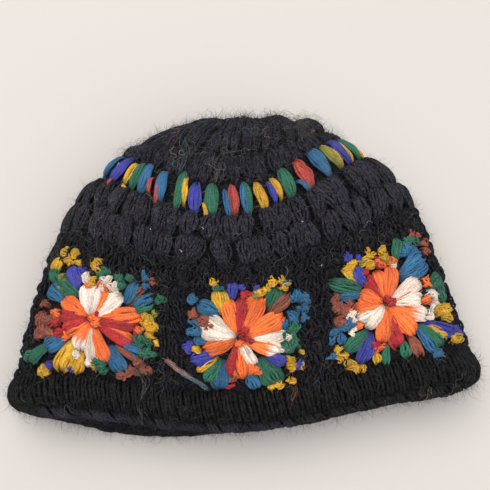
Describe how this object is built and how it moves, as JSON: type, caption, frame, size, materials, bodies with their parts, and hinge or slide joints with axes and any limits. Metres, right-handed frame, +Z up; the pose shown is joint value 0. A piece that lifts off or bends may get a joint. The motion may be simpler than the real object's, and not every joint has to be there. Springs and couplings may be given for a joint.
{
  "type": "crochet beanie",
  "caption": "Thick crochet wool beanie with a puff stitch crown, a coloured round, flower squares and a padded ribbed brim, lying on its back.",
  "frame": {"origin": "middle of the hat's footprint, on the surface that it lies on", "axes": "+X across the hat from the left to the right fold as seen from above with the brim towards the viewer, +Y from the brim to the crown, +Z up, out of the shown side"},
  "size_m": [0.2796, 0.19, 0.0684],
  "materials": {
    "black_wool": "fuzzy black wool with a faint purple tint",
    "brim_wool": "fuzzy black wool, neutral",
    "mixed_wool": "variegated wool in teal, green, indigo, yellow and rust",
    "flower_wool": "variegated wool in orange, dark red and cream"
  },
  "bodies": {
    "root": {"crown_centre": "black_wool", "crown_round_2": "black_wool", "crown_round_1": "black_wool", "colour_round": "mixed_wool", "body_round_1": "black_wool", "body_round_2": "black_wool", "body_round_3": "black_wool", "flower_front_right": "flower_wool", "corner_round_front_right": "mixed_wool", "join_right_side": "black_wool", "flower_front_middle": "flower_wool", "corner_round_front_middle": "mixed_wool", "join_front_right": "black_wool", "flower_front_left": "flower_wool", "corner_round_front_left": "mixed_wool", "join_front_left": "black_wool", "flower_back_left": "flower_wool", "corner_round_back_left": "mixed_wool", "join_left_side": "black_wool", "flower_back_middle": "flower_wool", "corner_round_back_middle": "mixed_wool", "join_back_left": "black_wool", "flower_back_right": "flower_wool", "corner_round_back_right": "mixed_wool", "join_back_right": "black_wool", "brim_band": "brim_wool", "brim_edge": "brim_wool"}
  },
  "joints": []
}
